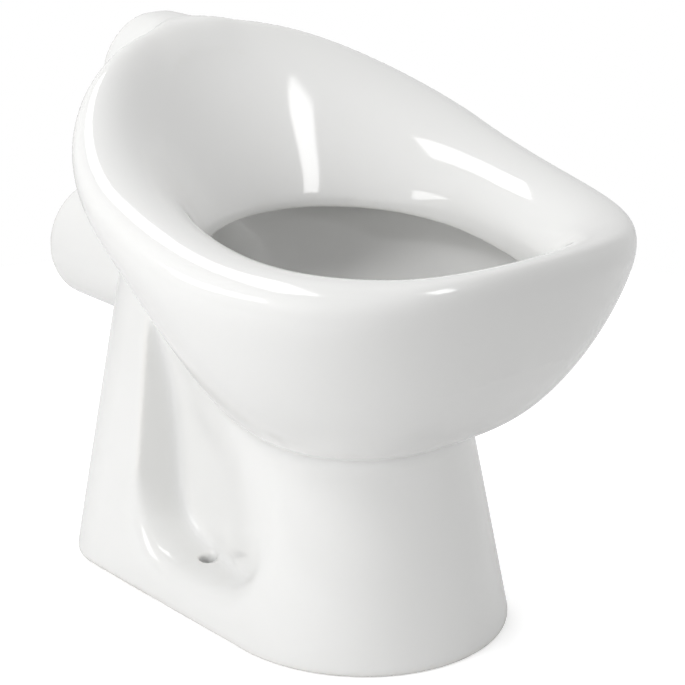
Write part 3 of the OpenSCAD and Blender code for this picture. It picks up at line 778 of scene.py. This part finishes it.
def glazed_china(look):
    """White glaze, a touch warmer and duller where it runs thin, over a pale bare body."""
    material, tree = new_material("glazed_china")
    place = Wire.make(tree, "ShaderNodeTexCoord", out="Object")
    cloud = noise(tree, place, CLOUD_SCALE, CLOUD_DETAIL)
    speck = noise(tree, place, SPECK_SCALE)
    thin = attribute(tree, "edge") * (THIN_LEAST + cloud)
    pooled = attribute(tree, "hollow") * POOLED_SHARE
    bare = attribute(tree, "bare")
    tint = tuple(CLOUDED_WHITE * c for c in look.white)
    colour = mix_colour(tree, cloud, tint, tuple(look.white))
    colour = mix_colour(tree, pooled, colour, tuple(look.pooled))
    colour = mix_colour(tree, thin, colour, tuple(look.thin))
    dull = tuple(SPECKED_BARE * c for c in look.bare)
    grain = mix_colour(tree, speck, dull, tuple(look.bare))
    colour = mix_colour(tree, bare, colour, grain)
    roughness = look.roughness + cloud * CLOUD_ROUGH + thin * THIN_ROUGH + bare * BARE_ROUGH
    ripple = noise(tree, place, RIPPLE_SCALE)
    peel = noise(tree, place, PEEL_SCALE)
    height = ripple * RIPPLE_SHARE + peel * PEEL_SHARE + speck * bare * GRAIN_SHARE
    bump = Wire.make(tree, "ShaderNodeBump", None,
                     {"Strength": RELIEF_STRENGTH, "Distance": RELIEF_DEPTH, "Height": height})
    surface = Wire.make(tree, "ShaderNodeBsdfPrincipled", None, {
        "Base Color": colour, "Roughness": roughness, "IOR": GLAZE_IOR, "Normal": bump})
    Wire.make(tree, "ShaderNodeOutputMaterial", None, {"Surface": surface})
    return material


def ring_line(china, up, out_of, grow, steps):
    """Closed line round a space at a height above the rim's edge, moved out by a growth."""
    fan_y, first, last, halvings = 20.0, 20.0, 260.0, 30
    turn = np.arange(steps) * 2 * np.pi / steps
    near, far = np.full(steps, first), np.full(steps, last)
    for _ in range(halvings):
        mid = (near + far) / 2
        x, y = mid * np.cos(turn), fan_y + mid * np.sin(turn)
        inside = out_of(x, y, china.edge_height(y) + up) < 0
        near, far = np.where(inside, mid, near), np.where(inside, far, mid)
    x, y = (near + grow) * np.cos(turn), fan_y + (near + grow) * np.sin(turn)
    return np.stack([x, y, china.edge_height(y) + up], 1)


def hole_tree():
    """Geometry nodes: thickens a band and punches flared holes along its loose line."""
    tree = bpy.data.node_groups.new("punched_flush_holes", "GeometryNodeTree")
    interface = tree.interface
    interface.new_socket("Geometry", in_out="INPUT", socket_type="NodeSocketGeometry")
    for name, kind, value in (("Thickness", "NodeSocketFloat", 0.007),
                              ("Hole Diameter", "NodeSocketFloat", 0.006),
                              ("Flare", "NodeSocketFloat", 0.0012), ("Holes", "NodeSocketInt", 24)):
        interface.new_socket(name, in_out="INPUT", socket_type=kind).default_value = value
    interface.new_socket("Glaze", in_out="INPUT", socket_type="NodeSocketMaterial")
    interface.new_socket("Geometry", in_out="OUTPUT", socket_type="NodeSocketGeometry")
    inputs = tree.nodes.new("NodeGroupInput").outputs

    def add(kind, settings=None, sockets=None):
        node = tree.nodes.new(kind)
        for name, value in (settings or {}).items():
            setattr(node, name, value)
        for name, value in (sockets or {}).items():
            if isinstance(value, bpy.types.NodeSocket):
                tree.links.new(value, node.inputs[name])
            else:
                node.inputs[name].default_value = value
        return node

    def maths(a, b, operation="ADD"):
        return add("ShaderNodeMath", {"operation": operation}, {0: a, 1: b}).outputs[0]

    loose = add("FunctionNodeCompare", {"data_type": "INT", "operation": "EQUAL"},
                {2: add("GeometryNodeInputMeshEdgeNeighbors").outputs[0], 3: 0})
    parted = add("GeometryNodeSeparateGeometry", {"domain": "EDGE"},
                 {"Geometry": inputs["Geometry"], "Selection": loose.outputs[0]})
    line = add("GeometryNodeMeshToCurve", None, {"Mesh": parted.outputs[0]})
    spots = add("GeometryNodeResampleCurve", None,
                {"Curve": line.outputs[0], "Count": inputs["Holes"]})
    up = add("ShaderNodeCombineXYZ", None, {"Z": inputs["Thickness"]})
    raised = add("GeometryNodeExtrudeMesh", {"mode": "FACES"}, {
        "Mesh": parted.outputs[1], "Offset": up.outputs[0], "Offset Scale": 1.0,
        "Individual": False})
    under = add("GeometryNodeFlipFaces", None, {"Mesh": parted.outputs[1]})
    both = tree.nodes.new("GeometryNodeJoinGeometry")
    tree.links.new(under.outputs[0], both.inputs[0])
    tree.links.new(raised.outputs[0], both.inputs[0])
    slab = add("GeometryNodeMergeByDistance", None, {"Geometry": both.outputs[0], "Distance": WELD})
    radius = maths(inputs["Hole Diameter"], 0.5, "MULTIPLY")
    deep = maths(inputs["Thickness"], 3.0, "MULTIPLY")
    drill = add("GeometryNodeMeshCylinder", None, {
        "Vertices": HOLE_SIDES, "Radius": radius, "Depth": deep})
    wide = maths(radius, inputs["Flare"])
    sink = add("GeometryNodeMeshCone", None, {
        "Vertices": HOLE_SIDES, "Radius Top": radius, "Radius Bottom": maths(wide, inputs["Flare"]),
        "Depth": maths(inputs["Flare"], 2.0, "MULTIPLY")})
    lower = add("ShaderNodeCombineXYZ", None, {"Z": maths(0.0, inputs["Flare"], "SUBTRACT")})
    placed = add("GeometryNodeTransform", None,
                 {"Geometry": sink.outputs[0], "Translation": lower.outputs[0]})
    cutter = tree.nodes.new("GeometryNodeMeshBoolean")
    cutter.operation = "UNION"
    tree.links.new(drill.outputs[0], cutter.inputs[1])
    tree.links.new(placed.outputs[0], cutter.inputs[1])
    drills = add("GeometryNodeInstanceOnPoints", None,
                 {"Points": spots.outputs[0], "Instance": cutter.outputs[0]})
    solid_drills = add("GeometryNodeRealizeInstances", None, {"Geometry": drills.outputs[0]})
    punched = tree.nodes.new("GeometryNodeMeshBoolean")
    punched.operation = "DIFFERENCE"
    tree.links.new(slab.outputs[0], punched.inputs[0])
    tree.links.new(solid_drills.outputs[0], punched.inputs[1])
    realized = add("GeometryNodeRealizeInstances", None, {"Geometry": punched.outputs[0]})
    painted = add("GeometryNodeSetMaterial", None,
                  {"Geometry": realized.outputs[0], "Material": inputs["Glaze"]})
    add("NodeGroupOutput", None, {0: painted.outputs[0]})
    return tree


def run_nodes(obj, tree, values):
    """Runs a geometry tree on an object with named inputs, and leaves a plain mesh."""
    modifier = obj.modifiers.new("nodes", "NODES")
    modifier.node_group = tree
    for item in tree.interface.items_tree:
        if item.in_out == "INPUT" and item.name in values:
            modifier[item.identifier] = values[item.name]
    ready = obj.evaluated_get(bpy.context.evaluated_depsgraph_get())
    mesh = bpy.data.meshes.new_from_object(ready)
    obj.modifiers.remove(modifier)
    obj.data = mesh


class CHINA_OT_body(bpy.types.Operator):
    """Build the glazed body: rim, bowl, pedestal, inlet boss and outlet spigot"""

    bl_idname = "china.body"
    bl_label = "China Body"

    def execute(self, context):
        sizes = context.scene.china_sizes
        china = China(sizes)
        move = Vector((0, sizes.fixing_place, 0))
        low, high = (cad_low + move) / MM, (cad_high + move) / MM
        points, quads = surface_net(china.field, low, high, sizes.mesh_step / MM)
        points = snap(china.field, points, rounds=3, limit=1.5)
        points = relax(china.field, points, quads, rounds=4)
        points = snap(china.field, points, rounds=2, limit=0.6, step=FINE_STEP)
        body = make_object("china_body", to_frame(points, sizes), quads)
        for turn in SPLIT_TURNS:
            refine(body.data, china.field, sizes, turn)
        finish_mesh(body.data, china, sizes)
        body.data.materials.append(context.scene.glaze_material)
        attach(body, "root")
        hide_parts("rim", "bowl", "pedestal", "flush_inlet", "outlet_spigot")
        return {"FINISHED"}


class CHINA_OT_flush_ring(bpy.types.Operator):
    """Build the ring that closes the rim from below, with its row of flush holes"""

    bl_idname = "china.flush_ring"
    bl_label = "Flush Ring"

    def execute(self, context):
        sizes = context.scene.china_sizes
        china = China(sizes)
        s = china.s
        steps = RING_SIDES
        seat = -s.floor_thickness + RING_SEAT
        inner = ring_line(china, seat, china.mouth, s.rim_wall - RING_BITE, steps)
        outer = ring_line(china, seat, lambda x, y, z: china.skin(x, y, z) + s.bowl_wall,
                          RING_BITE, steps)
        holes = ring_line(china, seat, china.mouth,
                          s.rim_wall + s.hole_land + s.flush_hole / 2, steps)
        k = np.arange(steps)
        after = (k + 1) % steps
        faces = np.stack([k, k + steps, after + steps, after], 1)
        edges = [(2 * steps + a, 2 * steps + b) for a, b in zip(k.tolist(), after.tolist())]
        points = to_frame(np.concatenate([inner, outer, holes]), sizes)
        ring = make_object("flush_ring", points, faces.tolist(), edges)
        run_nodes(ring, hole_tree(), {
            "Thickness": sizes.floor_thickness, "Hole Diameter": sizes.flush_hole,
            "Flare": HOLE_FLARE * MM, "Holes": sizes.flush_holes,
            "Glaze": context.scene.glaze_material})
        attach(ring, "root")
        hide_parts("channel_floor")
        return {"FINISHED"}


class CHINA_OT_trap(bpy.types.Operator):
    """Glaze the trap and the fixing lugs inside the pedestal"""

    bl_idname = "china.trap"
    bl_label = "Trap and Lugs"

    def execute(self, context):
        for name in ("trap_bend", "trap_weir", "fixing_lugs"):
            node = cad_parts[name]
            node.data.materials.clear()
            node.data.materials.append(context.scene.glaze_material)
        return {"FINISHED"}


def aim_at(obj, place, target):
    obj.location = place
    obj.rotation_euler = (target - place).to_track_quat("-Z", "Y").to_euler()


def direction(azimuth, elevation):
    """Unit vector: azimuth 0 is behind the toilet and 90 degrees to its right."""
    flat = math.cos(elevation)
    return Vector((math.sin(azimuth) * flat, math.cos(azimuth) * flat, math.sin(elevation)))


def soft_box(name, azimuth, elevation, distance, size, radiance, roll=0, shiny=False):
    """A rectangular lamp that faces the toilet.

    A shiny one shows only in the glaze, and any other one only lights.
    """
    target = Vector(MIDDLE)
    lamp = bpy.data.lights.new(name, "AREA")
    lamp.shape = "RECTANGLE"
    lamp.size, lamp.size_y = size
    lamp.energy = radiance * math.pi * size[0] * size[1]
    obj = bpy.data.objects.new(name, lamp)
    bpy.context.scene.collection.objects.link(obj)
    obj.location = target + distance * direction(math.radians(azimuth), math.radians(elevation))
    facing = (target - obj.location).to_track_quat("-Z", "Y")
    obj.rotation_euler = (facing @ Quaternion((0, 0, 1), math.radians(roll))).to_euler()
    obj.visible_glossy = shiny
    obj.visible_diffuse = not shiny


def floor_material():
    """Pale floor that is white to the camera where no shadow falls."""
    material, tree = new_material("pale_floor")
    place = Wire.make(tree, "ShaderNodeTexCoord", out="Object")
    tone = mix_colour(tree, noise(tree, place, FLOOR_SCALE), *FLOOR_TONES)
    matt = Wire.make(tree, "ShaderNodeBsdfDiffuse", None, {"Color": tone})
    seen = Wire.make(tree, "ShaderNodeLightPath", out="Is Camera Ray")
    glow = Wire.make(tree, "ShaderNodeEmission", None, {"Strength": seen * FLOOR_GLOW})
    both = Wire.make(tree, "ShaderNodeAddShader", None, {0: matt, 1: glow})
    Wire.make(tree, "ShaderNodeOutputMaterial", None, {"Surface": both})
    return material


def make_world(ambient):
    """Even light, white to the camera and dimmer in the glaze."""
    world = bpy.data.worlds.new("studio")
    bpy.context.scene.world = world
    world.use_nodes = True
    tree = world.node_tree
    tree.nodes.clear()
    path = Wire.make(tree, "ShaderNodeLightPath")
    camera, glossy, through = (Wire(tree, path.socket.node.outputs[n])
                               for n in ("Is Camera Ray", "Is Glossy Ray", "Is Transmission Ray"))
    shown = path.math("MAXIMUM", camera, path.math("MAXIMUM", glossy * GLAZE_LIGHT, through))
    strength = path.math("MAXIMUM", shown, ambient)
    back = Wire.make(tree, "ShaderNodeBackground", None,
                     {"Color": (1, 1, 1, 1), "Strength": strength})
    Wire.make(tree, "ShaderNodeOutputWorld", None, {"Surface": back})


class CHINA_OT_stage(bpy.types.Operator):
    """Set the floor, the soft boxes, the even light and the camera"""

    bl_idname = "china.stage"
    bl_label = "Stage"

    def execute(self, context):
        look = context.scene.studio_look
        turn = np.arange(FLOOR_SIDES) * 2 * np.pi / FLOOR_SIDES
        edge = np.stack([np.cos(turn), np.sin(turn), 0 * turn], 1) * look.floor_radius
        floor = make_object("floor", edge, [range(FLOOR_SIDES)])
        floor.data.materials.append(floor_material())
        for shine in SHINES:
            soft_box(*shine, shiny=True)
        for name, azimuth, elevation, radiance in FILLS:
            soft_box(name, azimuth, elevation, FILL_DISTANCE, FILL_SIZE, radiance)
        make_world(look.ambient)
        camera = bpy.data.objects.new("camera", bpy.data.cameras.new("camera"))
        context.scene.collection.objects.link(camera)
        camera.data.lens = look.lens
        camera.data.sensor_width = SENSOR_WIDTH
        camera.data.clip_start = CLIP_START
        back = direction(math.pi - look.azimuth, look.elevation)
        aim = Vector(look.aim)
        aim_at(camera, aim + look.distance * back, aim)
        context.scene.camera = camera
        context.scene.view_settings.view_transform = "Standard"
        return {"FINISHED"}


class CHINA_PT_panel(bpy.types.Panel):
    """Lists the steps that build the toilet"""

    bl_idname = "CHINA_PT_panel"
    bl_label = "Child Toilet"
    bl_space_type = "VIEW_3D"
    bl_region_type = "UI"
    bl_category = "Child Toilet"

    def draw(self, context):
        column = self.layout.column()
        for operator in OPERATORS:
            column.operator(operator.bl_idname)


OPERATORS = (CHINA_OT_body, CHINA_OT_flush_ring, CHINA_OT_trap, CHINA_OT_stage)
GROUPS = {"china_sizes": ChinaSizes, "glaze_look": GlazeLook, "studio_look": StudioLook}


def register():
    for kind in (*GROUPS.values(), *OPERATORS, CHINA_PT_panel):
        bpy.utils.register_class(kind)
    for name, kind in GROUPS.items():
        setattr(bpy.types.Scene, name, PointerProperty(type=kind))
    bpy.types.Scene.glaze_material = PointerProperty(type=bpy.types.Material)


def unregister():
    for name in (*GROUPS, "glaze_material"):
        delattr(bpy.types.Scene, name)
    for kind in reversed((*GROUPS.values(), *OPERATORS, CHINA_PT_panel)):
        bpy.utils.unregister_class(kind)


def main():
    register()
    scene = bpy.context.scene
    scene.glaze_material = glazed_china(scene.glaze_look)
    bpy.ops.china.stage()
    bpy.ops.china.body()
    bpy.ops.china.flush_ring()
    bpy.ops.china.trap()


if __name__ == "__main__":
    main()
